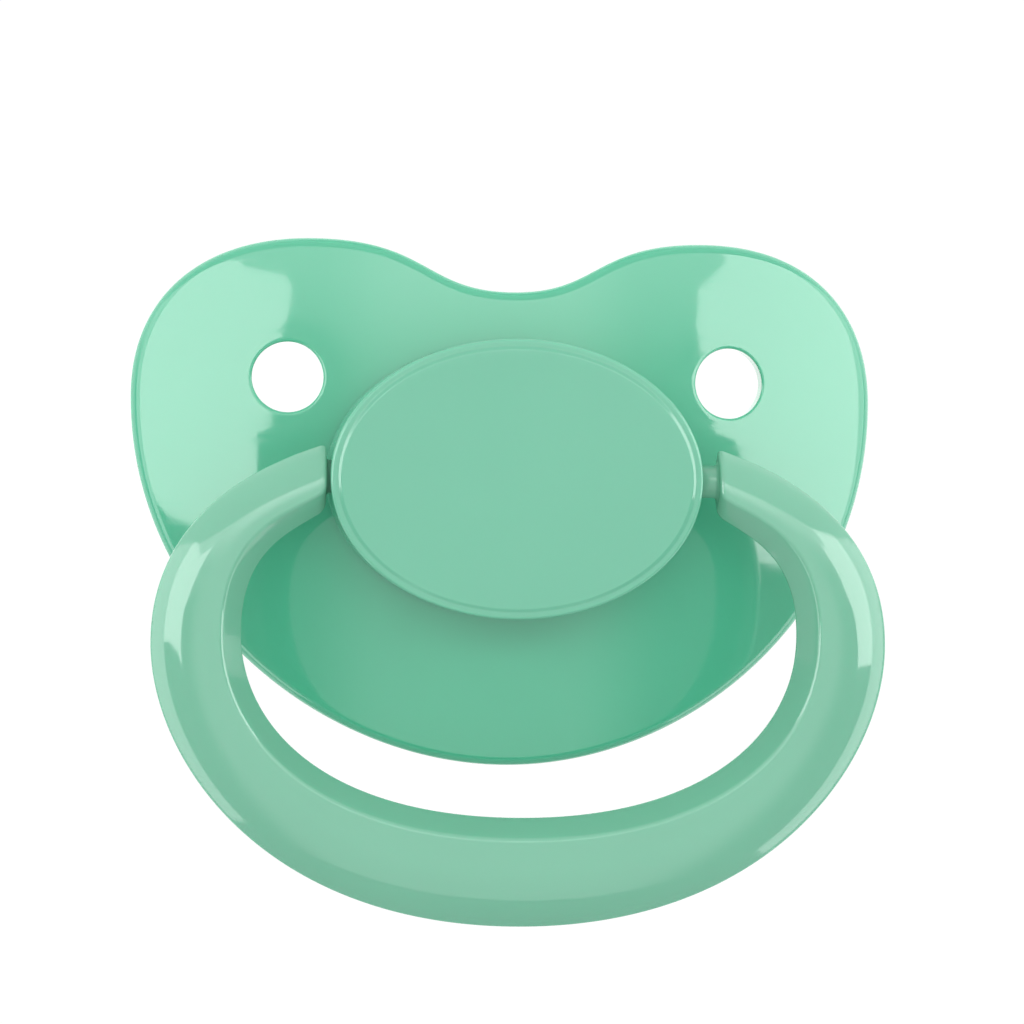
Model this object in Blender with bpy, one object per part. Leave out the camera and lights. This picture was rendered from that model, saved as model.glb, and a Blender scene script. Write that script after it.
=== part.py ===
"""Butterfly pacifier: curved shield, silicone teat, plug, oval cover and a swinging ring handle.

Frame: metres, X across the shield, Z up. The front, with the cover and the ring, faces -Y and the teat
points to +Y. The origin is the middle of the shield's back face, on the teat's axis. The ring turns on
the line y = PIN_Y, z = 0, along X. The object is the same on both sides of x = 0, except that the ring
has side play on its pins and rests a little to +X.
"""
import bmesh
import bpy
import numpy as np
from mathutils import Matrix, Vector

MM = 0.001
GAP = 0.3 * MM                 # between pieces that touch on the real object

# Shield: a butterfly outline on a plate that bends round the mouth.
SHIELD_THICK = 2.5 * MM
SHIELD_BEND_R = 55.0 * MM      # bend across the width, about a vertical axis
SHIELD_SWEEP_R = 100.0 * MM    # slighter bend from top to bottom
SHIELD_EDGE_R = 0.75 * MM      # rounding of the rim, front and back
DIP_Z = 15.2 * MM              # the nose dip between the lobes
LOBE_X, LOBE_Z = 16.4 * MM, 19.45 * MM
SIDE_X, SIDE_Z = 30.7 * MM, 6.6 * MM
CHIN_Z = -23.4 * MM
VENT_X, VENT_Z, VENT_R = 18.1 * MM, 8.05 * MM, 2.87 * MM
THROAT_R = 6.7 * MM            # hole that the teat's neck goes through
POCKET_R, POCKET_Y = 10.0 * MM, -1.2 * MM    # flat seat for the teat's flange

# Cover: an oval button, a cup whose rim follows the shield.
COVER_A, COVER_B = 15.0 * MM, 11.25 * MM     # half width and half height
COVER_FACE_Y = -8.2 * MM
COVER_WALL = 1.4 * MM
COVER_FACE_THICK = 1.5 * MM
COVER_BEVEL, COVER_BEVEL_DEPTH = 0.75 * MM, 0.25 * MM    # shallow bevel round the face
COVER_EDGE_R = 0.25 * MM       # rounding between the bevel and the wall
COLLAR_WALL = 1.2 * MM

# Ring handle: a flat open oval whose two ends carry the pins.
PIN_Y = -5.2 * MM
PIN_R = 1.3 * MM
PIN_HOLE_R = 1.55 * MM
PIN_TIP_X = 12.3 * MM
RING_END_X = 15.85 * MM
RING_END_TOP, RING_END_LOW = 2.65 * MM, -2.7 * MM
RING_REST_X = 0.6 * MM         # how far to +X the ring rests, within its side play
RING_HALF_THICK = 2.3 * MM
RING_OUT_X, RING_OUT_Z, RING_OUT_LOW = 29.75 * MM, -13.3 * MM, -36.1 * MM
RING_IN_X, RING_IN_Z, RING_IN_LOW = 22.5 * MM, -12.5 * MM, -27.3 * MM
RING_RIDGE_IN = 1.75 * MM      # from the inner edge to the ridge, the section's highest line
RING_RIDGE_R = 0.5 * MM        # rounding of the ridge
RING_EDGE_HALF = 0.3 * MM      # half the height of the upright band on the outer and inner edges

# Plug: a flanged spigot that holds the teat to the shield and carries the cover.
PLUG_HUB_R = 4.6 * MM
PLUG_FLANGE_R, PLUG_FLANGE_THICK = 9.5 * MM, 1.2 * MM
SPIGOT_R, SPIGOT_BEAD_R, SPIGOT_BORE_R = 4.7 * MM, 5.4 * MM, 3.0 * MM
SPIGOT_END_Y = 3.6 * MM

# Teat: a hollow silicone bulb, flattened from above, with a neck and a flange.
TEAT_FLANGE_R, TEAT_FLANGE_THICK = 9.6 * MM, 1.4 * MM
NECK_R = THROAT_R - GAP
TEAT_LENGTH = 33.0 * MM
TEAT_WALL = 1.5 * MM


def clear_scene():
    """Remove every object, so that a second run starts from nothing."""
    for obj in list(bpy.data.objects):
        bpy.data.objects.remove(obj, do_unlink=True)


def plastic(name, colour, roughness, alpha=1.0):
    """A Principled material in one colour."""
    mat = bpy.data.materials.new(name)
    mat.use_nodes = True
    shader = mat.node_tree.nodes["Principled BSDF"]
    shader.inputs["Base Color"].default_value = (*colour, 1.0)
    shader.inputs["Roughness"].default_value = roughness
    shader.inputs["Metallic"].default_value = 0.0
    shader.inputs["Alpha"].default_value = alpha
    return mat


def bezier(start, start_dir, start_reach, end, end_dir, end_reach, count):
    """Points of one cubic curve; each end has a direction and how far the curve follows it.

    The last point is left out, so that runs join without a double."""
    p0, p3 = np.array(start, float), np.array(end, float)
    p1 = p0 + start_reach * np.array(start_dir) / np.linalg.norm(start_dir)
    p2 = p3 - end_reach * np.array(end_dir) / np.linalg.norm(end_dir)
    t = np.arange(count)[:, None] / count
    return (1 - t) ** 3 * p0 + 3 * (1 - t) ** 2 * t * p1 + 3 * (1 - t) * t ** 2 * p2 + t ** 3 * p3


def shield_middle(x, z):
    """Depth of the plate's middle surface: an arc across and a shallow parabola up and down."""
    across = SHIELD_BEND_R - np.sqrt(SHIELD_BEND_R ** 2 - x ** 2)
    return across + z ** 2 / (2 * SHIELD_SWEEP_R) - SHIELD_THICK / 2


def shield_half_depth(x, z):
    """Half the plate's depth along Y, so that its thickness square to the surface stays the same."""
    slope_x = x / np.sqrt(SHIELD_BEND_R ** 2 - x ** 2)
    slope_z = z / SHIELD_SWEEP_R
    return SHIELD_THICK / 2 * np.sqrt(1 + slope_x ** 2 + slope_z ** 2)


def shield_front(x, z):
    """Depth of the shield's front face."""
    return shield_middle(x, z) - shield_half_depth(x, z)


def shield_outline():
    """The butterfly outline in X and Z, clockwise from the dip, mirrored for the other half."""
    to_lobe = bezier((0, DIP_Z), (1, 0), 7.25 * MM, (LOBE_X, LOBE_Z), (1, 0), 9.75 * MM, 10)
    to_side = bezier((LOBE_X, LOBE_Z), (1, 0), 9.0 * MM, (SIDE_X, SIDE_Z), (0, -1), 7.75 * MM, 12)
    to_chin = bezier((SIDE_X, SIDE_Z), (0, -1), 17.25 * MM, (0, CHIN_Z), (-1, 0), 15.5 * MM, 20)
    half = np.vstack([to_lobe, to_side, to_chin, [(0, CHIN_Z)]])
    other = half[-2:0:-1] * (-1, 1)
    return np.vstack([half, other])


def mesh_object(name, verts, faces, material):
    """A new object from points and faces, with its normals pointing out and smooth shading."""
    mesh = bpy.data.meshes.new(name)
    mesh.from_pydata([tuple(v) for v in verts], [], faces)
    work = bmesh.new()
    work.from_mesh(mesh)
    bmesh.ops.recalc_face_normals(work, faces=work.faces)
    work.to_mesh(mesh)
    work.free()
    mesh.shade_smooth()
    mesh.set_sharp_from_angle(angle=np.radians(35))
    mesh.materials.append(material)
    obj = bpy.data.objects.new(name, mesh)
    bpy.context.scene.collection.objects.link(obj)
    return obj


def bridge(first, second):
    """Quads between two closed rows of point numbers of one length."""
    count = len(first)
    return [(first[k], first[(k + 1) % count], second[(k + 1) % count], second[k]) for k in range(count)]


def loft(name, rows, material, wrap=False):
    """A solid through rows of points, where wrap joins the last row to the first.

    A row of one point is a pole, and two poles in turn are not joined."""
    verts = np.vstack(rows)
    starts = np.cumsum([0] + [len(row) for row in rows])
    numbers = [list(range(starts[k], starts[k + 1])) for k in range(len(rows))]
    pairs = list(zip(numbers, numbers[1:]))
    if wrap:
        pairs.append((numbers[-1], numbers[0]))
    faces = []
    for first, second in pairs:
        if len(first) == 1 and len(second) == 1:
            continue
        if len(first) == 1:
            faces += [(first[0], a, b) for a, b in zip(second, second[1:] + second[:1])]
        elif len(second) == 1:
            faces += [(second[0], b, a) for a, b in zip(first, first[1:] + first[:1])]
        else:
            faces += bridge(first, second)
    return mesh_object(name, verts, faces, material)


def oval_row(half_x, half_z, y, count, centre_z=0.0):
    """Points round an oval in a plane of constant Y; y may be a function of x and z."""
    turn = 2 * np.pi * np.arange(count) / count
    x = half_x * np.cos(turn)
    z = centre_z + half_z * np.sin(turn)
    depth = y(x, z) if callable(y) else np.full(count, y)
    return np.column_stack([x, depth, z])


def cylinder_cutter(name, radius, length, location, along):
    """A cylinder that cuts and isn't built itself; along is the axis it follows, X or Y."""
    work = bmesh.new()
    bmesh.ops.create_cone(work, cap_ends=True, segments=40, radius1=radius, radius2=radius, depth=length)
    mesh = bpy.data.meshes.new(name)
    work.to_mesh(mesh)
    work.free()
    cutter = bpy.data.objects.new(name, mesh)
    cutter.location = location
    cutter.rotation_euler = (np.pi / 2, 0, 0) if along == "Y" else (0, np.pi / 2, 0)
    cutter.hide_render = True
    cutter.display_type = "WIRE"
    bpy.context.scene.collection.objects.link(cutter)
    return cutter


def cut(obj, cutter):
    """Take the cutter's shape out of the object."""
    mod = obj.modifiers.new("cut_" + cutter.name, "BOOLEAN")
    mod.operation = "DIFFERENCE"
    mod.solver = "EXACT"
    mod.object = cutter


def make_shield(material):
    """The plate: throat, flange pocket, front face, rounded rim and back face, then two vent holes."""
    outline = shield_outline()
    along = np.roll(outline, -1, axis=0) - np.roll(outline, 1, axis=0)
    outward = np.column_stack([-along[:, 1], along[:, 0]])
    outward /= np.linalg.norm(outward, axis=1)[:, None]
    outward *= np.sign((outward * outline).sum(axis=1))[:, None]
    rim = outline - outward * SHIELD_EDGE_R
    spoke = rim / np.linalg.norm(rim, axis=1)[:, None]

    def row(flat, side, sunk=0.0):
        """side is -1 on the front face and +1 on the back face; sunk is how far below that face."""
        x, z = flat[:, 0], flat[:, 1]
        depth = shield_middle(x, z) + side * (shield_half_depth(x, z) - sunk)
        return np.column_stack([x, depth, z])

    def rim_row(turn, side):
        """A row on the rim's quarter round, where turn is 0 at the face and a right angle at the wall."""
        flat = rim + outward * np.sin(turn) * SHIELD_EDGE_R
        return row(flat, side, SHIELD_EDGE_R * (1 - np.cos(turn)))

    def flat_row(radius, y):
        flat = spoke * radius
        return np.column_stack([flat[:, 0], np.full(len(flat), y), flat[:, 1]])

    rows = [row(spoke * THROAT_R, 1), flat_row(THROAT_R, POCKET_Y), flat_row(POCKET_R, POCKET_Y)]
    for share in (0.0, 0.25, 0.5, 0.75, 1.0):
        rows.append(row(spoke * POCKET_R * (1 - share) + rim * share, -1))
    for turn in np.radians([30, 60, 90]):
        rows.append(rim_row(turn, -1))
    for turn in np.radians([90, 60, 30]):
        rows.append(rim_row(turn, 1))
    for share in (1.0, 0.75, 0.5, 0.25):
        rows.append(row(spoke * THROAT_R * (1 - share) + rim * share, 1))
    shield = loft("shield", rows, material, wrap=True)
    for side, word in ((-1, "left"), (1, "right")):
        where = (side * VENT_X, 0, VENT_Z)
        cut(shield, cylinder_cutter("vent_" + word, VENT_R, 20 * MM, where, "Y"))
    return shield


def make_cover(material):
    """The cup: flat face, rounded edge, side wall down to the shield, and a collar for the plug's hub."""
    count = 64
    inner_y = COVER_FACE_Y + COVER_FACE_THICK
    collar_in = PLUG_HUB_R + GAP
    collar_out = collar_in + COLLAR_WALL
    collar_end_y = plug_flange_front() - GAP

    def rim(x, z):
        return shield_front(x, z) - GAP

    rows = [np.array([[0, COVER_FACE_Y, 0]])]
    rows.append(oval_row(COVER_A - COVER_BEVEL, COVER_B - COVER_BEVEL, COVER_FACE_Y, count))
    for turn in np.radians([20, 55, 90]):
        inset = COVER_EDGE_R * (1 - np.sin(turn))
        y = COVER_FACE_Y + COVER_BEVEL_DEPTH + COVER_EDGE_R * (1 - np.cos(turn))
        rows.append(oval_row(COVER_A - inset, COVER_B - inset, y, count))
    rows.append(oval_row(COVER_A, COVER_B, rim, count))
    rows.append(oval_row(COVER_A - COVER_WALL, COVER_B - COVER_WALL, rim, count))
    rows.append(oval_row(COVER_A - COVER_WALL, COVER_B - COVER_WALL, inner_y, count))
    rows.append(oval_row(collar_out, collar_out, inner_y, count))
    rows.append(oval_row(collar_out, collar_out, collar_end_y, count))
    rows.append(oval_row(collar_in, collar_in, collar_end_y, count))
    rows.append(oval_row(collar_in, collar_in, inner_y, count))
    rows.append(np.array([[0, inner_y, 0]]))
    cover = loft("cover", rows, material)
    for side, word in ((-1, "left"), (1, "right")):
        middle = COVER_A - COVER_WALL / 2
        where = (side * middle, PIN_Y, 0)
        cut(cover, cylinder_cutter("pin_hole_" + word, PIN_HOLE_R, 4 * MM, where, "X"))
    return cover


def teat_flange_front():
    """Depth of the flange's front face: the flange lies in the shield's pocket."""
    return POCKET_Y - GAP - TEAT_FLANGE_THICK


def plug_flange_front():
    """Depth of the plug flange's front face: the flange lies on the teat's flange."""
    return teat_flange_front() - GAP - PLUG_FLANGE_THICK


def make_plug(material):
    """A turned piece: hub, flange, spigot with a holding bead, and a blind bore open to the teat."""
    back = plug_flange_front() + PLUG_FLANGE_THICK
    hub_end = COVER_FACE_Y + COVER_FACE_THICK + GAP
    bore_end = back + 0.6 * MM
    profile = [
        (0, hub_end),
        (PLUG_HUB_R, hub_end),
        (PLUG_HUB_R, plug_flange_front()),
        (PLUG_FLANGE_R, plug_flange_front()),
        (PLUG_FLANGE_R, back),
        (SPIGOT_R, back),
        (SPIGOT_R, 0.8 * MM),
        (SPIGOT_BEAD_R, 1.6 * MM),
        (SPIGOT_BEAD_R, 2.4 * MM),
        (SPIGOT_R, SPIGOT_END_Y),
        (SPIGOT_BORE_R, SPIGOT_END_Y),
        (SPIGOT_BORE_R, bore_end),
        (0, bore_end),
    ]
    rows = []
    for radius, y in profile:
        rows.append(np.array([[0, y, 0]]) if radius == 0 else oval_row(radius, radius, y, 40))
    return loft("plug", rows, material)


def teat_section(y):
    """Half width, half height and middle height of the teat's outside at depth y behind the neck.

    The neck swells over the plug's bead, narrows, and opens into a flattened bulb that tilts up a little."""
    stations = np.array([0.0, 1.6, 2.4, 5.0, 9.0, 14.0, 19.0, 24.0, 28.0, 31.0, 32.4, 33.0]) * MM
    half_x = np.array([6.4, 7.2, 7.2, 6.5, 6.9, 8.9, 10.9, 11.5, 10.4, 7.6, 4.6, 0.0]) * MM
    half_z = np.array([6.4, 7.2, 7.2, 6.3, 5.9, 6.7, 7.6, 7.8, 7.0, 5.0, 3.0, 0.0]) * MM
    middle = np.array([0.0, 0.0, 0.0, 0.1, 0.4, 0.9, 1.3, 1.5, 1.5, 1.3, 1.2, 1.2]) * MM
    return [np.interp(y, stations, values) for values in (half_x, half_z, middle)]


def make_teat(material):
    """A hollow bulb: inside from the open neck to the tip, outside back to the neck, then the flange."""
    count = 40
    front = teat_flange_front()
    back = front + TEAT_FLANGE_THICK
    neck_in = SPIGOT_R + GAP
    bead_in = SPIGOT_BEAD_R + GAP
    rows = [
        oval_row(neck_in, neck_in, front, count),
        oval_row(neck_in, neck_in, 0.5 * MM, count),
        oval_row(bead_in, bead_in, 1.4 * MM, count),
        oval_row(bead_in, bead_in, 2.6 * MM, count),
    ]
    for y in np.array([5.0, 9.0, 14.0, 19.0, 24.0, 28.0, 30.2]) * MM:
        half_x, half_z, middle = teat_section(y)
        rows.append(oval_row(half_x - TEAT_WALL, half_z - TEAT_WALL, y, count, middle))
    tip_middle = teat_section(TEAT_LENGTH)[2]
    rows.append(np.array([[0, TEAT_LENGTH - TEAT_WALL, tip_middle]]))
    rows.append(np.array([[0, TEAT_LENGTH, tip_middle]]))
    for y in np.array([32.4, 31.0, 28.0, 24.0, 19.0, 14.0, 9.0, 5.0, 2.6, 1.4]) * MM:
        half_x, half_z, middle = teat_section(y)
        rows.append(oval_row(half_x, half_z, y, count, middle))
    rows.append(oval_row(NECK_R, NECK_R, 0.3 * MM, count))
    rows.append(oval_row(NECK_R, NECK_R, back, count))
    rows.append(oval_row(TEAT_FLANGE_R, TEAT_FLANGE_R, back, count))
    rows.append(oval_row(TEAT_FLANGE_R, TEAT_FLANGE_R, front, count))
    return loft("teat", rows, material, wrap=True)


def ring_side(low, low_reach, side, side_reach, side_climb, end, end_dir, end_reach):
    """One edge of the ring's right half, from the bottom middle up the side to the pin end."""
    lower = bezier((0, low), (1, 0), low_reach, side, (0, 1), side_reach, 22)
    upper = bezier(side, (0, 1), side_climb, end, end_dir, end_reach, 14)
    return np.vstack([lower, upper, [end]])


def ring_section(outer, inner):
    """Points round the section between two edge points, outer edge first, then back, inner edge, front.

    From the ridge the face falls outwards as a parabola and inwards as a slope, and short upright bands
    close the two edges."""
    width = np.linalg.norm(outer - inner)
    fall = RING_HALF_THICK - RING_EDGE_HALF
    reach = width - RING_RIDGE_IN
    share = np.array([1.0, 0.8, 0.6, 0.4, 0.2, 0.0])
    slope = np.arctan(fall / RING_RIDGE_IN)
    turn = slope * np.array([0.5, 1.0])
    start = RING_RIDGE_R * np.tan(slope / 2)
    lateral = np.concatenate([reach * (1 - share), reach - start + RING_RIDGE_R * np.sin(turn), [width]])
    lateral[5] -= start
    height = np.concatenate([RING_HALF_THICK - fall * share ** 2,
                             RING_HALF_THICK - RING_RIDGE_R * (1 - np.cos(turn)), [RING_EDGE_HALF]])
    lateral = np.concatenate([lateral, lateral[::-1]])
    depth = np.concatenate([height, -height[::-1]])
    flat = outer + (inner - outer) / width * lateral[:, None]
    return np.column_stack([flat[:, 0], PIN_Y + depth, flat[:, 1]])


def make_ring_handle(material):
    """The open oval with a pin on each end, in one run from pin tip to pin tip."""
    outer = ring_side(RING_OUT_LOW, 20.5 * MM, (RING_OUT_X, RING_OUT_Z), 9.5 * MM, 12.0 * MM,
                      (RING_END_X, RING_END_TOP), (-0.925, 0.38), 2.0 * MM)
    inner = ring_side(RING_IN_LOW, 15.75 * MM, (RING_IN_X, RING_IN_Z), 7.5 * MM, 6.75 * MM,
                      (RING_END_X, RING_END_LOW), (-0.83, 0.555), 3.25 * MM)
    right = [ring_section(a, b) for a, b in zip(outer, inner)]
    away = right[-1][:, 1:] - (PIN_Y, 0)
    away /= np.linalg.norm(away, axis=1)[:, None]
    for x in (RING_END_X, PIN_TIP_X):
        right.append(np.column_stack([np.full(len(away), x), (PIN_Y, 0) + PIN_R * away]))
    right.append(np.array([[PIN_TIP_X, PIN_Y, 0]]))
    left = [row * (-1, 1, 1) for row in right[:0:-1]]
    rows = [row + (RING_REST_X, 0, 0) for row in left + right]
    ring = loft("ring_handle", rows, material)
    put_origin(ring, (0, PIN_Y, 0))
    return ring


def put_origin(obj, point):
    """Move the object's origin to a point and leave its shape where it is."""
    obj.data.transform(Matrix.Translation(-Vector(point)))
    obj.location = point


def build():
    """Make the five pieces, each in its own material."""
    clear_scene()
    mint = (0.205, 0.610, 0.445)
    make_shield(plastic("mint_shield", mint, 0.12))
    make_cover(plastic("mint_cover", mint, 0.15))
    make_ring_handle(plastic("mint_ring", mint, 0.15))
    make_plug(plastic("white_plug", (0.80, 0.82, 0.80), 0.3))
    make_teat(plastic("clear_silicone", (0.86, 0.85, 0.80), 0.25, alpha=0.6))


build()
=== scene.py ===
import bmesh
import bpy
import numpy as np
from mathutils import Matrix, Vector


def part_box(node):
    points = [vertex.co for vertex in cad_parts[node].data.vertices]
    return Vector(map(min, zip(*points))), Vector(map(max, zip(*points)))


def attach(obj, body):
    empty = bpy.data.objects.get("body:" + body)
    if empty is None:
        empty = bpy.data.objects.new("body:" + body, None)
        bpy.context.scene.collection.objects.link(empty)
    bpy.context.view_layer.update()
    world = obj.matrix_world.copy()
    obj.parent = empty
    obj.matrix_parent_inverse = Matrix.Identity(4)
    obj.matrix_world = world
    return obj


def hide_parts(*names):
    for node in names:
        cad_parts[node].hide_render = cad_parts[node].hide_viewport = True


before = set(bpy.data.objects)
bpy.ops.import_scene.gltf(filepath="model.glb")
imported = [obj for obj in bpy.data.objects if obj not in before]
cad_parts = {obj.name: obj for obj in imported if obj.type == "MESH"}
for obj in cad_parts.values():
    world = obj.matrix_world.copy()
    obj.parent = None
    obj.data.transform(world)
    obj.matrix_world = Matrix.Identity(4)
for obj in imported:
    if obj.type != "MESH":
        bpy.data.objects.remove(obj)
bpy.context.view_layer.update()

MM = 0.001


# ---------------------------------------------------------------- camera
# A long lens close to level, a little to the left of straight ahead, turned so that the
# pacifier leans slightly clockwise.
camera_aim = Vector((0.3, 0.0, -2.7)) * MM
camera_turn, camera_rise, camera_lean = np.radians((-5.3, 0.5, 0.8))
camera_distance = 450 * MM
toward_camera = Vector((np.sin(camera_turn) * np.cos(camera_rise),
                        -np.cos(camera_turn) * np.cos(camera_rise),
                        np.sin(camera_rise)))
camera_data = bpy.data.cameras.new("camera")
camera_data.lens = 194
camera_data.sensor_width = 36
camera_data.clip_start = 0.01
camera_data.clip_end = 20
camera = bpy.data.objects.new("camera", camera_data)
bpy.context.scene.collection.objects.link(camera)
camera.matrix_world = (Matrix.Translation(camera_aim + toward_camera * camera_distance)
                       @ toward_camera.to_track_quat("Z", "Y").to_matrix().to_4x4()
                       @ Matrix.Rotation(camera_lean, 4, "Z"))
bpy.context.scene.camera = camera


# ---------------------------------------------------------------- floor and light
# A white paper sweep in an evenly lit white room: a floor under the held pacifier that curves up
# into a back wall. A front wall with a card and a broad lamp, a ceiling, a card on each side and a
# wall behind light the pieces and show in their gloss. The two softboxes show in the gloss only.
floor_height = -62 * MM
sweep_back = 0.9
sweep_radius = 0.4
sweep_half_width = 2.0
paper_glow = 1.0
room_light = 0.55
front_card_glow, front_card_turns = 1.45, (12, 27)
front_lamp_glow, front_lamp_rises = 2.05, (2, 21)
panel_foot, ceiling_foot, ceiling_top = -50, 28, 85    # degrees above level
front_wall_distance, wall_distance = 1.1, 0.85
ceiling_glow, back_wall_glow, back_wall_top = 1.1, 1.4, 70
side_card_distance, side_card_glow, side_card_top = 0.78, 2.8, 30
softbox_distance, softbox_glow = 0.7, 5.4


def node_quads(numbers, close_rows=False, close_columns=False):
    """Quads of a grid of point numbers: each joins a point, the next in its row and the two below.
    A closed direction joins its last line to its first."""
    if close_rows:
        numbers = np.vstack([numbers, numbers[:1]])
    if close_columns:
        numbers = np.hstack([numbers, numbers[:, :1]])
    corners = (numbers[:-1, :-1], numbers[:-1, 1:], numbers[1:, 1:], numbers[1:, :-1])
    return np.stack(corners, axis=-1).reshape(-1, 4)


def mesh_piece(name, points, quads, material, sharp=None):
    """A smooth-shaded object from an array of points and an array of quads, with its faces turned
    outwards. Points that no quad uses are left out, and a quad with a repeated corner is a triangle."""
    used, quads = np.unique(quads, return_inverse=True)
    faces = [list(dict.fromkeys(face)) for face in quads.reshape(-1, 4).tolist()]
    mesh = bpy.data.meshes.new(name)
    mesh.from_pydata(points[used].tolist(), [], faces)
    work = bmesh.new()
    work.from_mesh(mesh)
    bmesh.ops.recalc_face_normals(work, faces=work.faces)
    work.to_mesh(mesh)
    work.free()
    mesh.shade_smooth()
    if sharp is not None:
        mesh.set_sharp_from_angle(angle=np.radians(sharp))
    mesh.materials.append(material)
    piece = bpy.data.objects.new(name, mesh)
    bpy.context.scene.collection.objects.link(piece)
    return piece


def new_material(name):
    """An empty node material, its Principled shader and a maker of linked nodes."""
    material = bpy.data.materials.new(name)
    material.use_nodes = True
    tree = material.node_tree
    shader = tree.nodes["Principled BSDF"]

    def node(kind, **settings):
        made = tree.nodes.new(kind)
        for key, value in settings.items():
            if key in made.inputs:
                made.inputs[key].default_value = value
            else:
                setattr(made, key, value)
        return made

    return material, shader, node, tree.links.new


def paper_sweep():
    """The sweep's profile, floor then quarter circle then wall, carried straight across."""
    turn = np.linspace(0, np.pi / 2, 24)
    bend_y = sweep_back - sweep_radius + sweep_radius * np.sin(turn)
    bend_z = floor_height + sweep_radius * (1 - np.cos(turn))
    y = np.concatenate([[-2.5], bend_y, [sweep_back]])
    z = np.concatenate([[floor_height], bend_z, [2.5]])
    x = np.array([-sweep_half_width, sweep_half_width])
    points = np.stack(np.broadcast_arrays(x[None, :], y[:, None], z[:, None]), axis=-1)
    material, shader, node, link = new_material("white_paper")
    shader.inputs["Base Color"].default_value = (0.02, 0.02, 0.02, 1)
    shader.inputs["Specular IOR Level"].default_value = 0
    shader.inputs["Emission Color"].default_value = (1, 1, 1, 1)
    shader.inputs["Emission Strength"].default_value = paper_glow
    numbers = np.arange(points.size // 3).reshape(points.shape[:2])
    return mesh_piece("paper_sweep", points.reshape(-1, 3), node_quads(numbers), material)


def direction(turn, rise):
    """Unit vector from the pacifier, by degrees to the right of straight in front and above level."""
    turn, rise = np.radians((turn, rise))
    return Vector((np.sin(turn) * np.cos(rise), -np.cos(turn) * np.cos(rise), np.sin(rise)))


def light_panel(name, lower, upper, distance, strength):
    """A glowing strip between a lower and an upper line of corners, each given by its turn and rise at
    one distance from the pacifier. It shows in reflections only, unless its owner lets it light more."""
    points = [direction(*corner) * distance for corner in lower + upper]
    count = len(lower)
    mesh = bpy.data.meshes.new(name)
    mesh.from_pydata(points, [], [(k, k + 1, count + k + 1, count + k) for k in range(count - 1)])
    material, shader, node, link = new_material(name)
    shader.inputs["Base Color"].default_value = (0, 0, 0, 1)
    shader.inputs["Specular IOR Level"].default_value = 0
    shader.inputs["Emission Color"].default_value = (1, 1, 1, 1)
    shader.inputs["Emission Strength"].default_value = strength
    mesh.materials.append(material)
    panel = bpy.data.objects.new(name, mesh)
    bpy.context.scene.collection.objects.link(panel)
    panel.visible_camera = False
    panel.visible_diffuse = False
    panel.visible_transmission = False
    panel.visible_shadow = False
    return panel


def front_wall():
    """The room in front, as a strip that lights the pieces too. Its glow is the room's own, plus a card
    straight ahead that fades out to the sides and a broad lamp that climbs from level upwards."""
    turns = range(-120, 121, 12)
    wall = light_panel("front_wall", [(turn, panel_foot) for turn in turns],
                       [(turn, ceiling_foot) for turn in turns], front_wall_distance, room_light)
    wall.visible_diffuse = True
    tree = wall.data.materials[0].node_tree
    place = tree.nodes.new("ShaderNodeTexCoord")
    split = tree.nodes.new("ShaderNodeSeparateXYZ")
    aside = tree.nodes.new("ShaderNodeMath")
    aside.operation = "ABSOLUTE"
    tree.links.new(place.outputs["Object"], split.inputs["Vector"])
    tree.links.new(split.outputs["X"], aside.inputs[0])
    ramps = []
    for source, limits, glow in (
            (aside.outputs["Value"], front_card_turns, (front_card_glow, room_light)),
            (split.outputs["Z"], front_lamp_rises, (0, front_lamp_glow))):
        ramp = tree.nodes.new("ShaderNodeMapRange")
        ramp.interpolation_type = "SMOOTHSTEP"
        ramp.inputs["From Min"].default_value = front_wall_distance * np.sin(np.radians(limits[0]))
        ramp.inputs["From Max"].default_value = front_wall_distance * np.sin(np.radians(limits[1]))
        ramp.inputs["To Min"].default_value = glow[0]
        ramp.inputs["To Max"].default_value = glow[1]
        tree.links.new(source, ramp.inputs["Value"])
        ramps.append(ramp)
    total = tree.nodes.new("ShaderNodeMath")
    tree.links.new(ramps[0].outputs["Result"], total.inputs[0])
    tree.links.new(ramps[1].outputs["Result"], total.inputs[1])
    shader = tree.nodes["Principled BSDF"]
    tree.links.new(total.outputs["Value"], shader.inputs["Emission Strength"])
    return wall


sweep = paper_sweep()
sweep.visible_glossy = False
light_panel(
    "softbox_left",
    [(-36.5, 13), (-38.4, 6.9), (-41.2, 4.4), (-42, -9),
     (-45.5, -7), (-48, -6), (-60, -3.5), (-68, -3.5)],
    [(-36, 18.6), (-37.3, 19.6), (-41.2, 19.6), (-42, 19.6),
     (-45.5, 19.6), (-48, 21), (-60, 28), (-68, 30)],
    softbox_distance, softbox_glow)
light_panel(
    "softbox_right",
    [(40.6, 14.7), (41.4, 13), (44.5, 6.9), (47, 5.8), (48.2, 3), (51.8, -7.3), (75, -7.3)],
    [(41.3, 18.4), (44, 19.3), (47.3, 20.4), (47.5, 27), (49, 28), (52, 28.5), (75, 31)],
    softbox_distance, softbox_glow)
front_wall()
around = range(-120, 121, 15)
ceiling = light_panel("ceiling", [(turn, ceiling_foot) for turn in around],
                      [(turn, ceiling_top) for turn in around], wall_distance, ceiling_glow)
ceiling.visible_diffuse = True
for name, near, far in (("side_card_left", -68, -92), ("side_card_right", 75, 98)):
    card = light_panel(name, [(near, panel_foot), (far, panel_foot)],
                       [(near, side_card_top), (far, side_card_top)], side_card_distance, side_card_glow)
    card.visible_diffuse = True
behind = range(105, 256, 15)
back_wall = light_panel("back_wall", [(turn, panel_foot) for turn in behind],
                        [(turn, back_wall_top) for turn in behind], wall_distance, back_wall_glow)
back_wall.visible_diffuse = True
back_wall.visible_transmission = True
world = bpy.data.worlds.new("studio")
world.use_nodes = True
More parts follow.
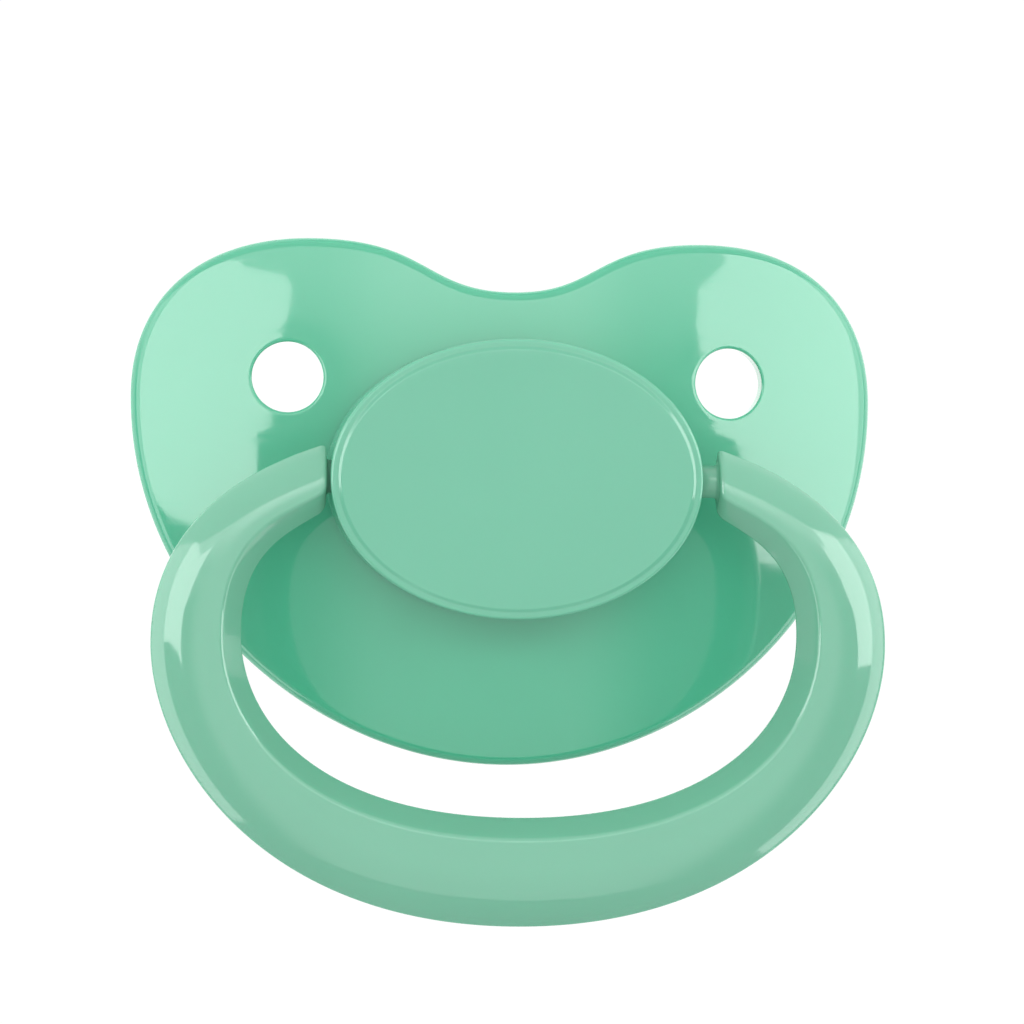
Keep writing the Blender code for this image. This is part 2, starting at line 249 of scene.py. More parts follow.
world.node_tree.nodes["Background"].inputs["Color"].default_value = (1, 1, 1, 1)
world.node_tree.nodes["Background"].inputs["Strength"].default_value = room_light
bpy.context.scene.world = world
bpy.context.scene.view_settings.view_transform = "Standard"


# ---------------------------------------------------------------- shield
# The curved plate that rests on the lips: injection-moulded polypropylene, mint green and a
# little translucent, polished all over, with a rounded rim and crisply rounded vent holes.
shield_low, shield_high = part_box("shield")
shield_thick = 2.5 * MM
shield_edge = 0.75 * MM
bend_radius = 55 * MM
bow_radius = 100 * MM
dip_height = 15.2 * MM
lobe_x = 16.4 * MM
side_z = 6.6 * MM
throat_radius, pocket_radius = 6.7 * MM, 10.0 * MM     # the teat's neck and flange go in here
pocket_y = -1.2 * MM
vent_x, vent_z, vent_radius = 18.1 * MM, 8.05 * MM, 2.87 * MM
vent_edge = 0.22 * MM
vent_sink = 0.05 * MM
vent_sink_reach = 1.5 * MM
vent_patch = 4.4 * MM          # half the side of the patch that each vent hole is bored in


def mint_plastic(name, deep, pale, gloss):
    """Polished mint polypropylene. Slow noise drifts the colour between its deep and its pale tone, the
    surface has a faint moulded waviness, and hair-fine handling marks roughen the gloss in streaks."""
    material, shader, node, link = new_material(name)
    place = node("ShaderNodeTexCoord")
    drift = node("ShaderNodeTexNoise", Scale=70.0, Detail=2.0, Roughness=0.5)
    tone = node("ShaderNodeMix", data_type="RGBA")
    tone.inputs["A"].default_value = (*deep, 1)
    tone.inputs["B"].default_value = (*pale, 1)
    link(place.outputs["Object"], drift.inputs["Vector"])
    link(drift.outputs["Fac"], tone.inputs["Factor"])
    link(tone.outputs["Result"], shader.inputs["Base Color"])
    turned = node("ShaderNodeMapping", Rotation=(0.0, 0.9, 0.0), Scale=(260.0, 260.0, 2600.0))
    marks = node("ShaderNodeTexNoise", Scale=1.0, Detail=3.0, Roughness=0.6)
    marks_range = node("ShaderNodeMapRange")
    marks_range.inputs["From Min"].default_value = 0.45
    marks_range.inputs["From Max"].default_value = 0.75
    marks_range.inputs["To Min"].default_value = gloss
    marks_range.inputs["To Max"].default_value = gloss + 0.07
    link(place.outputs["Object"], turned.inputs["Vector"])
    link(turned.outputs["Vector"], marks.inputs["Vector"])
    link(marks.outputs["Fac"], marks_range.inputs["Value"])
    link(marks_range.outputs["Result"], shader.inputs["Roughness"])
    waves = node("ShaderNodeTexNoise", Scale=160.0, Detail=1.0, Roughness=0.4)
    bump = node("ShaderNodeBump", Strength=1.0, Distance=0.006 * MM)
    link(place.outputs["Object"], waves.inputs["Vector"])
    link(waves.outputs["Fac"], bump.inputs["Height"])
    link(bump.outputs["Normal"], shader.inputs["Normal"])
    shader.inputs["IOR"].default_value = 1.5
    shader.inputs["Specular IOR Level"].default_value = 0.7
    shader.inputs["Subsurface Weight"].default_value = 0.3
    shader.inputs["Subsurface Radius"].default_value = (0.35, 1.0, 0.7)
    shader.inputs["Subsurface Scale"].default_value = 1.2 * MM
    return material


def curve(start, start_dir, start_reach, end, end_dir, end_reach, shares):
    """Points of one cubic Bezier curve at the given shares of its run. Each end has a direction and the
    distance over which the curve follows it."""
    p0, p3 = np.array(start, float), np.array(end, float)
    p1 = p0 + start_reach * np.array(start_dir) / np.linalg.norm(start_dir)
    p2 = p3 - end_reach * np.array(end_dir) / np.linalg.norm(end_dir)
    t = np.asarray(shares)[:, None]
    return (1 - t) ** 3 * p0 + 3 * (1 - t) ** 2 * t * p1 + 3 * (1 - t) * t ** 2 * p2 + t ** 3 * p3


def shares_of(count):
    """Even shares from 0, without the 1 at which the next curve starts."""
    return np.arange(count) / count


def plate_middle(x, z):
    """Depth of the plate's middle surface: an arc across, a shallow parabola up and down and a slight
    sink round each vent hole that fades as a bell curve of the distance from the hole's edge."""
    across = bend_radius - np.sqrt(bend_radius ** 2 - x ** 2)
    from_vent = np.hypot(np.abs(x) - vent_x, z - vent_z) - vent_radius
    sink = vent_sink * np.exp(-(from_vent / vent_sink_reach) ** 2)
    return across + z ** 2 / (2 * bow_radius) - shield_thick / 2 + sink


def plate_half_depth(x, z):
    """Half the plate's depth along Y, larger where the plate slopes, so its thickness stays the same."""
    slope_x = x / np.sqrt(bend_radius ** 2 - x ** 2)
    slope_z = z / bow_radius
    return shield_thick / 2 * np.sqrt(1 + slope_x ** 2 + slope_z ** 2)


def on_plate(flat, side):
    """Points of the plate over flat points (x, z): side -1 is the front face and +1 the back face."""
    x, z = flat[..., 0], flat[..., 1]
    depth = plate_middle(x, z) + side * plate_half_depth(x, z)
    return np.stack([x, depth, z], axis=-1)


def butterfly_outline():
    """The outline as three curves a side: nose dip to lobe, lobe to side, and side to chin."""
    side_x, lobe_z, chin_z = shield_high.x, shield_high.z, shield_low.z
    lobe, side, chin = (lobe_x, lobe_z), (side_x, side_z), (0, chin_z)
    to_lobe = curve((0, dip_height), (1, 0), 7.25 * MM, lobe, (1, 0), 9.75 * MM, shares_of(50))
    to_side = curve(lobe, (1, 0), 9.0 * MM, side, (0, -1), 7.75 * MM, shares_of(60))
    to_chin = curve(side, (0, -1), 17.25 * MM, chin, (-1, 0), 15.5 * MM, shares_of(90))
    half = np.vstack([to_lobe, to_side, to_chin, [chin]])
    return np.vstack([half, half[-2:0:-1] * (-1, 1)])


def block_loop(numbers, block):
    """Point numbers once round the edge of a block of a grid; block is its first and last row, then its
    first and last column."""
    top, bottom, left, right = block
    return np.concatenate([numbers[top, left:right], numbers[top:bottom, right],
                           numbers[bottom, right:left:-1], numbers[bottom:top:-1, left]])


def bore(points, quads, near, far, block, axes, lift_near, lift_far, centre, radius, edge):
    """A round hole through a wall. near and far are the point numbers of the wall's two faces, laid out
    alike, and block is the patch of both that gives way. From the patch's edge rings run in to a circle,
    over a quarter-round lip, straight through and out again. axes are the two coordinates in which the
    hole is round, and each lift puts such flat points on its face of the wall."""
    top, bottom, left, right = block
    for numbers in (near, far):
        patch = numbers[top:bottom + 1, left:right + 1]
        quads = quads[~np.isin(quads, patch).all(axis=1)]
    near_loop, far_loop = block_loop(near, block), block_loop(far, block)
    near_flat, far_flat = points[near_loop][:, axes], points[far_loop][:, axes]
    away = near_flat - centre
    away /= np.linalg.norm(away, axis=1)[:, None]
    mouth = centre + away * (radius + edge)
    step = np.linspace(0, 1, 12)[1:, None, None]
    turn = np.linspace(0, np.pi / 2, 8)[1:, None, None]
    lip = centre + away * (radius + edge * (1 - np.sin(turn)))
    sunk = edge * (1 - np.cos(turn))
    near_lip, far_lip = lift_near(lip), lift_far(lip)
    through = far_lip - near_lip
    through /= np.linalg.norm(through, axis=-1)[..., None]
    near_lip, far_lip = near_lip + through * sunk, far_lip - through * sunk
    share = np.linspace(0, 1, 8)[1:-1, None, None]
    run = np.concatenate([
        lift_near(near_flat * (1 - step) + mouth * step),
        near_lip,
        near_lip[-1] * (1 - share) + far_lip[-1] * share,
        far_lip[::-1],
        lift_far(far_flat * (1 - step) + mouth * step)[::-1],
    ])
    new = len(points) + np.arange(run.shape[0] * run.shape[1]).reshape(run.shape[:2])
    ladder = node_quads(np.vstack([near_loop, new, far_loop]), close_columns=True)
    return np.vstack([points, run.reshape(-1, 3)]), np.vstack([quads, ladder])


def shield_piece(material):
    """One closed grid of points: spokes from the pocket to the outline, a rim with a quarter round front
    and back, the back face, the throat and the pocket; then a vent hole is bored through each lobe."""
    outline = butterfly_outline()
    along = np.roll(outline, -1, axis=0) - np.roll(outline, 1, axis=0)
    outward = np.stack([-along[:, 1], along[:, 0]], axis=1)
    outward /= np.linalg.norm(outward, axis=1)[:, None]
    outward *= np.sign((outward * outline).sum(axis=1))[:, None]
    rim = outline - outward * shield_edge
    spoke = rim / np.linalg.norm(rim, axis=1)[:, None]
    share = np.linspace(0, 1, 48)[:, None, None]
    flat = spoke * pocket_radius * (1 - share) + rim * share
    front, back = on_plate(flat, -1), on_plate(flat, 1)
    roll = np.linspace(0, np.pi / 2, 13)[1:, None, None]
    rolled = rim + outward * np.sin(roll) * shield_edge
    sunk = np.concatenate([0 * roll, shield_edge * (1 - np.cos(roll)), 0 * roll], axis=-1)
    front_edge, back_edge = on_plate(rolled, -1) + sunk, on_plate(rolled, 1) - sunk
    wall = np.linspace(0, 1, 5)[1:-1, None, None]
    wall = front_edge[-1] * (1 - wall) + back_edge[-1] * wall
    edge = np.concatenate([front_edge, wall, back_edge[::-1]])
    hub = spoke * np.linspace(pocket_radius, throat_radius, 6)[1:, None, None]
    back_hub = on_plate(hub, 1)
    pocket_floor = on_plate(hub[::-1], -1)
    pocket_floor[..., 1] = pocket_y
    fall = np.linspace(0, 1, 6)[1:-1, None, None]
    throat = back_hub[-1] * (1 - fall) + pocket_floor[0] * fall
    pocket_foot = front[:1].copy()
    pocket_foot[..., 1] = pocket_y
    grid = np.concatenate([front, edge, back[::-1], back_hub, throat, pocket_floor, pocket_foot])
    numbers = np.arange(grid.shape[0] * grid.shape[1]).reshape(grid.shape[:2])
    points = grid.reshape(-1, 3)
    quads = node_quads(numbers, close_rows=True, close_columns=True)
    front_numbers = numbers[:len(front)]
    back_numbers = numbers[len(front) + len(edge):][:len(back)][::-1]
    for side in (-1, 1):
        centre = np.array([side * vent_x, vent_z])
        column = np.abs(spoke @ centre / np.linalg.norm(centre) - 1).argmin()
        row = np.abs(np.linalg.norm(flat[:, column], axis=1) - np.linalg.norm(centre)).argmin()
        row_step = np.linalg.norm(flat[row + 1, column] - flat[row, column])
        column_step = np.linalg.norm(flat[row, column + 1] - flat[row, column])
        rows, columns = round(vent_patch / row_step), round(vent_patch / column_step)
        block = (row - rows, row + rows, column - columns, column + columns)
        points, quads = bore(points, quads, front_numbers, back_numbers, block, [0, 2],
                             lambda flat_points: on_plate(flat_points, -1),
                             lambda flat_points: on_plate(flat_points, 1),
                             centre, vent_radius, vent_edge)
    return mesh_piece("shield_plate", points, quads, material, sharp=40)


mint_shield = mint_plastic("mint_shield", (0.067, 0.38, 0.232), (0.077, 0.41, 0.251), 0.045)
shield = shield_piece(mint_shield)
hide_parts("shield")
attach(shield, "shield_body")


# ---------------------------------------------------------------- teat
# The soft bulb behind the shield: clear silicone, moulded in one with its neck and flange,
# slightly milky, hollow, and flattened from above with its tip tilted up.
teat_low, teat_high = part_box("teat")
teat_wall = 1.5 * MM
spigot_radius, bead_radius = 4.7 * MM, 5.4 * MM
gap = 0.3 * MM
neck_radius = throat_radius - gap
flange_front = teat_low.y
flange_back = flange_front + 1.4 * MM
flange_edge = 0.25 * MM
neck_mouth = 0.5 * MM
bead_seat_front, bead_seat_back = 1.4 * MM, 2.6 * MM
neck_front = -0.4 * MM


def clear_silicone():
    """Clear silicone: mostly see-through, with a soft surface, faint cloudiness and a matt bloom that
    slow noise spreads unevenly."""
    material, shader, node, link = new_material("clear_silicone")
    place = node("ShaderNodeTexCoord")
    bloom = node("ShaderNodeTexNoise", Scale=140.0, Detail=4.0, Roughness=0.6)
    rough = node("ShaderNodeMapRange")
    rough.inputs["To Min"].default_value = 0.12
    rough.inputs["To Max"].default_value = 0.22
    link(place.outputs["Object"], bloom.inputs["Vector"])
    link(bloom.outputs["Fac"], rough.inputs["Value"])
    link(rough.outputs["Result"], shader.inputs["Roughness"])
    cloud = node("ShaderNodeMix", data_type="RGBA")
    cloud.inputs["A"].default_value = (0.93, 0.92, 0.88, 1)
    cloud.inputs["B"].default_value = (0.97, 0.96, 0.93, 1)
    link(bloom.outputs["Fac"], cloud.inputs["Factor"])
    link(cloud.outputs["Result"], shader.inputs["Base Color"])
    skin = node("ShaderNodeTexNoise", Scale=900.0, Detail=2.0, Roughness=0.5)
    bump = node("ShaderNodeBump", Strength=0.6, Distance=0.01 * MM)
    link(place.outputs["Object"], skin.inputs["Vector"])
    link(skin.outputs["Fac"], bump.inputs["Height"])
    link(bump.outputs["Normal"], shader.inputs["Normal"])
    shader.inputs["IOR"].default_value = 1.41
    shader.inputs["Transmission Weight"].default_value = 0.82
    shader.inputs["Subsurface Weight"].default_value = 0.2
    shader.inputs["Subsurface Radius"].default_value = (1.0, 0.95, 0.85)
    shader.inputs["Subsurface Scale"].default_value = 3 * MM
    return material


def smooth_through(stations, count):
    """Rows spaced along a Catmull-Rom spline through the stations, so that it passes each of them and
    bends evenly between. At an end with no width it crosses the axis squarely, as a dome does."""
    stations = np.asarray(stations, float)
    over_axis = (-1, -1, 1, 1)
    before = stations[1] * over_axis if stations[0, 0] == 0 else 2 * stations[0] - stations[1]
    after = stations[-2] * over_axis if stations[-1, 0] == 0 else 2 * stations[-1] - stations[-2]
    ends = np.vstack([before, stations, after])
    where = np.linspace(0, len(stations) - 1, count)
    left = np.minimum(where.astype(int), len(stations) - 2)
    t = (where - left)[:, None]
    a, b, c, d = (ends[left + k] for k in range(4))
    return 0.5 * (2 * b + (c - a) * t + (2 * a - 5 * b + 4 * c - d) * t ** 2
                  + (3 * b - a - 3 * c + d) * t ** 3)


def oval_rows(rows, columns):
    """Points of ovals square to Y: each row gives half width, half height, middle height and depth."""
    turn = np.linspace(0, 2 * np.pi, columns, endpoint=False)
    half_x, half_z, middle, depth = (rows[:, k, None] for k in range(4))
    parts = np.broadcast_arrays(half_x * np.cos(turn), depth, middle + half_z * np.sin(turn))
    return np.stack(parts, axis=-1)


def teat_piece(material):
    """The outside from the neck over the plug's bead to the tip, the inside back to the open neck, and
    the flange. The inside is the outside less the wall, and each tip closes in a point."""
    length = teat_high.y / MM
    outside = smooth_through([
        (6.4, 6.4, 0.0, 0.0),
        (7.15, 7.15, 0.0, 1.5),
        (7.15, 7.15, 0.0, 2.6),
        (6.45, 6.3, 0.1, 4.9),
        (6.7, 5.85, 0.4, 8.5),
        (8.6, 6.5, 0.85, 13.0),
        (10.6, 7.4, 1.2, 18.0),
        (11.4, 7.75, 1.45, 23.0),
        (10.6, 7.0, 1.5, 27.6),
        (8.3, 5.3, 1.4, 30.7),
        (4.6, 3.0, 1.25, 32.5),
        (0.0, 0.0, 1.2, length),
    ], 150) * MM
    wall = teat_wall / MM
    inside = smooth_through([
        (0.0, 0.0, 1.2, length - wall),
        (3.9, 2.4, 1.25, 31.1),
        (7.0, 4.1, 1.4, 29.4),
        (9.15, 5.5, 1.5, 26.9),
        (9.85, 6.2, 1.45, 22.9),
        (9.1, 5.9, 1.2, 18.0),
        (7.1, 5.0, 0.85, 13.0),
        (5.3, 4.5, 0.4, 8.5),
        (5.1, 5.0, 0.1, 4.9),
    ], 110) * MM
    neck = np.array([
        (bead_radius + gap, bead_radius + gap, 0, bead_seat_back),
        (bead_radius + gap, bead_radius + gap, 0, bead_seat_front),
        (spigot_radius + gap, spigot_radius + gap, 0, neck_mouth),
        (spigot_radius + gap, spigot_radius + gap, 0, flange_front),
    ])
    flange = teat_high.z
    collar = np.array([
        (flange - flange_edge, flange - flange_edge, 0, flange_front),
        (flange, flange, 0, flange_front + flange_edge),
        (flange, flange, 0, flange_back - flange_edge),
        (flange - flange_edge, flange - flange_edge, 0, flange_back),
        (neck_radius, neck_radius, 0, flange_back),
        (neck_radius, neck_radius, 0, neck_front),
    ])
    rows = np.vstack([collar, outside, inside, neck])
    columns = 128
    points = oval_rows(rows, columns)
    numbers = np.arange(len(rows) * columns).reshape(len(rows), columns)
    tip_out, tip_in = len(collar) + len(outside) - 1, len(collar) + len(outside)
    numbers[tip_out] = numbers[tip_out, 0]
    numbers[tip_in] = numbers[tip_in, 0]
    quads = node_quads(numbers, close_rows=True, close_columns=True).reshape(len(rows), columns, 4)
    quads = np.delete(quads, tip_out, axis=0)
    return mesh_piece("teat_bulb", points.reshape(-1, 3), quads.reshape(-1, 4), material, sharp=50)


teat = teat_piece(clear_silicone())
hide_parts("teat")
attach(teat, "shield_body")


# ---------------------------------------------------------------- plug
# The hidden core pushed in from the front: natural polypropylene, turned in shape, with a
# flange that clamps the teat and a beaded hollow spigot that snaps behind the shield.
plug_low, plug_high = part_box("plug")
hub_radius, hub_length = 4.6 * MM, 2.0 * MM
plug_flange_thick = 1.2 * MM
bead_start, bead_front, bead_back = 0.8 * MM, 1.6 * MM, 2.4 * MM
bore_radius, bore_floor = 3.0 * MM, 0.6 * MM           # the floor's depth is from the flange's back
plug_chamfer = 0.12 * MM


def plug_material():
    """Uncoloured polypropylene: milky white, satin, with faint turned marks about its axis."""
    material, shader, node, link = new_material("natural_plastic")
    place = node("ShaderNodeTexCoord")
    marks = node("ShaderNodeTexNoise", Scale=500.0, Detail=3.0, Roughness=0.5)
    rough = node("ShaderNodeMapRange")
    rough.inputs["To Min"].default_value = 0.24
    rough.inputs["To Max"].default_value = 0.38
    tint = node("ShaderNodeMix", data_type="RGBA")
    tint.inputs["A"].default_value = (0.76, 0.79, 0.77, 1)
    tint.inputs["B"].default_value = (0.84, 0.86, 0.84, 1)
    link(place.outputs["Object"], marks.inputs["Vector"])
    link(marks.outputs["Fac"], rough.inputs["Value"])
    link(marks.outputs["Fac"], tint.inputs["Factor"])
    link(rough.outputs["Result"], shader.inputs["Roughness"])
    link(tint.outputs["Result"], shader.inputs["Base Color"])
    shader.inputs["IOR"].default_value = 1.49
    shader.inputs["Subsurface Weight"].default_value = 0.3
    shader.inputs["Subsurface Radius"].default_value = (1.0, 1.0, 1.0)
    shader.inputs["Subsurface Scale"].default_value = 1.5 * MM
    return material


def turned_rows(profile, soften):
    """A turned profile of (radius, depth) corners as oval rows, each corner cut by a small chamfer whose
    two ends lie a short way along its sides. The first and last corners are poles and stay."""
    corners = np.asarray(profile, float)
    before, at, after = corners[:-2], corners[1:-1], corners[2:]
    cut_a = at + soften * (before - at) / np.linalg.norm(before - at, axis=1)[:, None]
    cut_b = at + soften * (after - at) / np.linalg.norm(after - at, axis=1)[:, None]
    middle = (cut_a + cut_b + 2 * at) / 4
    soft = np.stack([cut_a, middle, cut_b], axis=1).reshape(-1, 2)
    full = np.vstack([corners[:1], soft, corners[-1:]])
    return np.column_stack([full[:, 0], full[:, 0], np.zeros(len(full)), full[:, 1]])


def plug_piece(material):
    """The turned profile, hub to flange to spigot to bore, carried round the axis."""
    flange_y = plug_low.y + hub_length
    flange_end = flange_y + plug_flange_thick
    rows = turned_rows([
        (0, plug_low.y),
        (hub_radius, plug_low.y),
        (hub_radius, flange_y),
        (plug_high.x, flange_y),
        (plug_high.x, flange_end),
        (spigot_radius, flange_end),
        (spigot_radius, bead_start),
        (bead_radius, bead_front),
        (bead_radius, bead_back),
        (spigot_radius, plug_high.y),
        (bore_radius, plug_high.y),
        (bore_radius, flange_end + bore_floor),
        (0, flange_end + bore_floor),
    ], plug_chamfer)
    columns = 96
    points = oval_rows(rows, columns)
    numbers = np.arange(len(rows) * columns).reshape(len(rows), columns)
    numbers[0] = numbers[0, 0]
    numbers[-1] = numbers[-1, 0]
    quads = node_quads(numbers, close_columns=True)
    return mesh_piece("plug_core", points.reshape(-1, 3), quads, material, sharp=40)


plug = plug_piece(plug_material())
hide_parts("plug")
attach(plug, "shield_body")


# ---------------------------------------------------------------- ring handle
# The open oval that hangs from the cover: one mint moulding, highest along a ridge near its
# inner edge, with a broad outer swell, a steep inner bevel and a round pin on each end.
ring_low, ring_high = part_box("ring_handle")
ring_rest_x = (ring_low.x + ring_high.x) / 2
pin_y = (ring_low.y + ring_high.y) / 2
pin_radius = 1.3 * MM
ring_half_thick = (ring_high.y - ring_low.y) / 2
ring_end_x, pin_tip_x = 15.85 * MM, 12.3 * MM
ring_end_low, ring_inner_low = -2.7 * MM, -27.3 * MM
ring_side_z = -13.3 * MM
ring_inner_side, ring_inner_side_z = 22.5 * MM, -12.5 * MM
ring_end_edge = 0.45 * MM
ring_end_share = 0.07          # share of the upper curve over which the end is rounded
ring_band_half = 0.1 * MM      # half the height of the upright band on either edge
ring_outer_edge, ring_outer_slope = 0.35 * MM, np.radians(46)
ring_inner_edge, ring_inner_slope = 0.3 * MM, np.radians(52)
ring_ridge = 0.55 * MM


def ring_edge(low, low_reach, side, side_reach, side_climb, end, end_dir, end_reach, upper_shares):
    """One edge of the right half, bottom to pin end: two cubic curves that meet upright at the side."""
    lower = curve((0, low), (1, 0), low_reach, side, (0, 1), side_reach, shares_of(120))
    upper = curve(side, (0, 1), side_climb, end, end_dir, end_reach, upper_shares)
    return np.vstack([lower, upper])


def ring_sections(outer, inner, drawn_in):
    """Sections across the band, one for each pair of edge points. The face climbs from the outer edge by
    a small rounding and a broad circular swell to a flat land, turns over the ridge, runs straight down
    the bevel and ends in a small rounding at the inner edge; the back is its mirror. drawn_in is how far
    each section's outline is pulled in all round."""
    width = np.linalg.norm(outer - inner, axis=1)[:, None]
    across = (outer - inner) / width
    foot = np.linspace(0, np.pi / 2 - ring_outer_slope, 8)
    swell = np.linspace(ring_outer_slope, 0, 25)[1:]
    foot_top = ring_band_half + ring_outer_edge * np.sin(foot[-1])
    swell_radius = (ring_half_thick - foot_top) / (1 - np.cos(ring_outer_slope))
    from_outer = np.concatenate([
        ring_outer_edge * (1 - np.cos(foot)),
        ring_outer_edge * (1 - np.cos(foot[-1]))
        + swell_radius * (np.sin(ring_outer_slope) - np.sin(swell)),
    ])
    over = np.linspace(0, ring_inner_slope, 10)
    tuck = np.linspace(ring_inner_slope, np.pi / 2, 8)
    over_low = ring_half_thick - ring_ridge * (1 - np.cos(ring_inner_slope))
    tuck_high = ring_band_half + ring_inner_edge * np.cos(ring_inner_slope)
    bevel = (over_low - tuck_high) / np.tan(ring_inner_slope)
    down = np.array([0.25, 0.5, 0.75])
    from_ridge = np.concatenate([
        ring_ridge * np.sin(over),
        ring_ridge * np.sin(ring_inner_slope) + bevel * down,
        ring_ridge * np.sin(ring_inner_slope) + bevel
        + ring_inner_edge * (np.sin(tuck) - np.sin(ring_inner_slope)),
    ])
    rise = np.concatenate([
        ring_band_half + ring_outer_edge * np.sin(foot),
        ring_half_thick - swell_radius * (1 - np.cos(swell)),
        np.full(7, ring_half_thick),
        ring_half_thick - ring_ridge * (1 - np.cos(over)),
        over_low - (over_low - tuck_high) * down,
        ring_band_half + ring_inner_edge * np.cos(tuck),
    ])
    room = width - from_ridge[-1]
    from_outer = from_outer * np.minimum(1, 0.98 * room / from_outer[-1])
    land = from_outer[:, -1:] + (room - from_outer[:, -1:]) * np.linspace(0, 1, 9)[1:-1]
    inset = np.hstack([from_outer, land, room + from_ridge])
    inset = np.hstack([inset, inset[:, ::-1]])
    depth = np.concatenate([-rise, rise[::-1]]) * (1 - drawn_in[:, None] / ring_half_thick)
    spread = (width / 2 - inset) * (1 - 2 * drawn_in[:, None] / width)
    middle = (outer + inner) / 2
    flat = middle[:, None, :] + spread[..., None] * across[:, None, :]
    return np.stack([flat[..., 0], pin_y + depth, flat[..., 1]], axis=-1)


def ring_piece(material):
    """The band's sections from pin end to pin end, drawn in over a small rounding at each end to a flat
    face square to X. From each end face stands the pin, filleted at its root and chamfered at its tip."""
    round_turn = np.linspace(0, np.pi / 2, 9)
    upper_shares = np.concatenate([np.linspace(0, 1 - ring_end_share, 70)[:-1],
                                   1 - ring_end_share * (1 - np.sin(round_turn))])
    side_out, side_in = (ring_high.x - ring_rest_x, ring_side_z), (ring_inner_side, ring_inner_side_z)
    outer = ring_edge(ring_low.z, 20.5 * MM, side_out, 9.5 * MM, 12.0 * MM,
                      (ring_end_x, ring_high.z), (-0.925, 0.38), 2.0 * MM, upper_shares)
    inner = ring_edge(ring_inner_low, 15.75 * MM, side_in, 7.5 * MM, 6.75 * MM,
                      (ring_end_x, ring_end_low), (-0.83, 0.555), 3.25 * MM, upper_shares)
    drawn_in = np.zeros(len(outer))
    drawn_in[-len(round_turn):] = ring_end_edge * (1 - np.cos(round_turn))
    band = ring_sections(outer, inner, drawn_in)
    end = band[-1]
    away = end[:, 1:] - (pin_y, 0)
    away /= np.linalg.norm(away, axis=1)[:, None]
    pin_profile = [(ring_end_x, 1.3), (ring_end_x - 0.08 * MM, 1.1), (ring_end_x - 0.3 * MM, 1.0),
                   (pin_tip_x + 0.3 * MM, 1.0), (pin_tip_x, 0.78), (pin_tip_x, 0.0)]
    pin = [np.column_stack([np.full(len(end), x), (pin_y, 0) + away * pin_radius * size])
           for x, size in pin_profile]
    face = [end * (1 - share) + pin[0] * share for share in (0.25, 0.5, 0.75)]
    right = np.stack([*band, *face, *pin])
    points = np.concatenate([right[:0:-1] * (-1, 1, 1), right]) + (ring_rest_x, 0, 0)
    numbers = np.arange(points.shape[0] * points.shape[1]).reshape(points.shape[:2])
    numbers[0] = numbers[0, 0]
    numbers[-1] = numbers[-1, 0]
    quads = node_quads(numbers, close_columns=True)
    return mesh_piece("ring_band", points.reshape(-1, 3), quads, material, sharp=50)


mint_ring = mint_plastic("mint_ring", (0.142, 0.392, 0.268), (0.155, 0.42, 0.288), 0.06)
ring = ring_piece(mint_ring)
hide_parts("ring_handle")
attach(ring, "ring")


# ---------------------------------------------------------------- cover
# The oval button that closes the front: a mint cup with a faintly crowned face, a small step
# down to a narrow ledge round it, side walls that follow the shield, and pin holes in its ends.
cover_low, cover_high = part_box("cover")
cover_wall = 1.4 * MM
cover_crown = 0.12 * MM
cover_step_in, cover_step_out = 0.92 * MM, 0.5 * MM    # how far in the step begins and ends
cover_step_depth, cover_edge = 0.15 * MM, 0.27 * MM
cover_front_wall, collar_overlap = 1.5 * MM, 1.7 * MM
inner_y = cover_low.y + cover_front_wall
collar_in, collar_out = 4.9 * MM, 6.1 * MM
collar_end_y = plug_low.y + collar_overlap
pin_hole_radius, pin_hole_edge = 1.38 * MM, 0.08 * MM
pin_block_end = 2 * pin_y - inner_y
pin_block_steps = 14


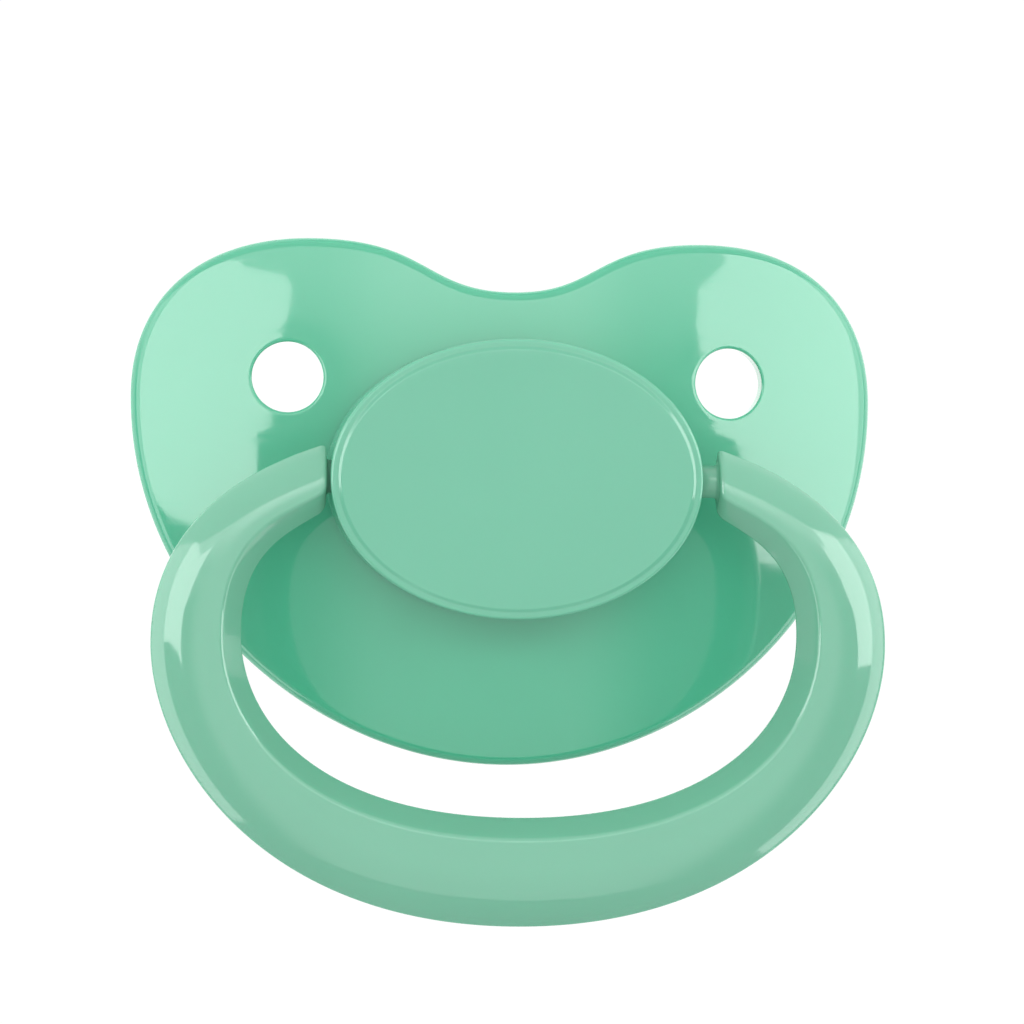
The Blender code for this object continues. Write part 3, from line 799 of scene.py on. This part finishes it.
def cover_piece(material):
    """Rows of ovals: crowned face, quarter-round edge, side wall down to the shield, rim, inside wall,
    inside face, and the collar that grips the plug; then a pin hole is bored through each end wall."""
    columns = 256
    turn = 2 * np.pi * np.arange(columns) / columns - np.pi / 2
    compass = np.stack([np.cos(turn), np.sin(turn)], axis=-1)
    half = np.array([cover_high.x, cover_high.z])

    def oval(half_size, y):
        """One row of the given half width and half height at depth y."""
        flat = compass * half_size
        return np.stack([flat[:, 0], np.broadcast_to(y, columns), flat[:, 1]], axis=-1)

    def wall_rows(half_size):
        """Rows down a wall, from the inside face's depth past the pin hole to the rim."""
        foot = on_plate(compass * half_size, -1)[:, 1] - gap
        beside_pin = [oval(half_size, y)
                      for y in np.linspace(inner_y, pin_block_end, pin_block_steps + 1)]
        to_rim = [oval(half_size, pin_block_end * (1 - share) + foot * share)
                  for share in np.linspace(0, 1, 7)[1:]]
        return beside_pin + to_rim

    def on_wall(half_size):
        """A function that puts flat points (y, z) on the wall's oval, on the hole's side."""
        def lift(flat):
            x = half_size[0] * np.sqrt(1 - (flat[..., 1] / half_size[1]) ** 2)
            return np.stack([side * x, flat[..., 0], flat[..., 1]], axis=-1)
        return lift

    face = [oval((half - cover_step_in) * share, cover_low.y + cover_crown * share ** 2)
            for share in np.linspace(0, 1, 30)]
    fall = np.linspace(0, 1, 13)[1:]
    step_in = cover_step_in + (cover_step_out - cover_step_in) * fall
    step_y = cover_low.y + cover_crown + cover_step_depth * fall ** 2 * (3 - 2 * fall)
    roll = np.linspace(0, np.pi / 2, 12)
    edge_in = cover_edge * (1 - np.sin(roll))
    edge_y = step_y[-1] + cover_edge * (1 - np.cos(roll))
    edge = [oval(half - inset, y) for inset, y in zip([*step_in, *edge_in], [*step_y, *edge_y])]
    inner_half = half - cover_wall
    outside, inside = wall_rows(half), wall_rows(inner_half)
    collar = [oval(collar_out, inner_y), oval(collar_out, collar_end_y),
              oval(collar_in, collar_end_y), oval(collar_in, inner_y), oval(0, inner_y)]
    rows = np.stack([*face, *edge, *outside, *inside[::-1], *collar])
    numbers = np.arange(rows.shape[0] * columns).reshape(rows.shape[:2])
    numbers[0] = numbers[0, 0]
    numbers[-1] = numbers[-1, 0]
    quads = node_quads(numbers, close_columns=True)
    points = rows.reshape(-1, 3)
    first = len(face) + len(edge)
    outside_numbers = numbers[first:][:len(outside)]
    inside_numbers = numbers[first + len(outside):][:len(inside)][::-1]
    for side, middle in ((1, columns // 4), (-1, 3 * columns // 4)):
        block = (0, pin_block_steps, middle - pin_block_steps // 2, middle + pin_block_steps // 2)
        points, quads = bore(points, quads, outside_numbers, inside_numbers, block, [1, 2],
                             on_wall(half), on_wall(inner_half), np.array([pin_y, 0.0]),
                             pin_hole_radius, pin_hole_edge)
    return mesh_piece("cover_button", points, quads, material, sharp=40)


mint_cover = mint_plastic("mint_cover", (0.112, 0.39, 0.26), (0.125, 0.416, 0.278), 0.07)
cover = cover_piece(mint_cover)
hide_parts("cover")
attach(cover, "shield_body")
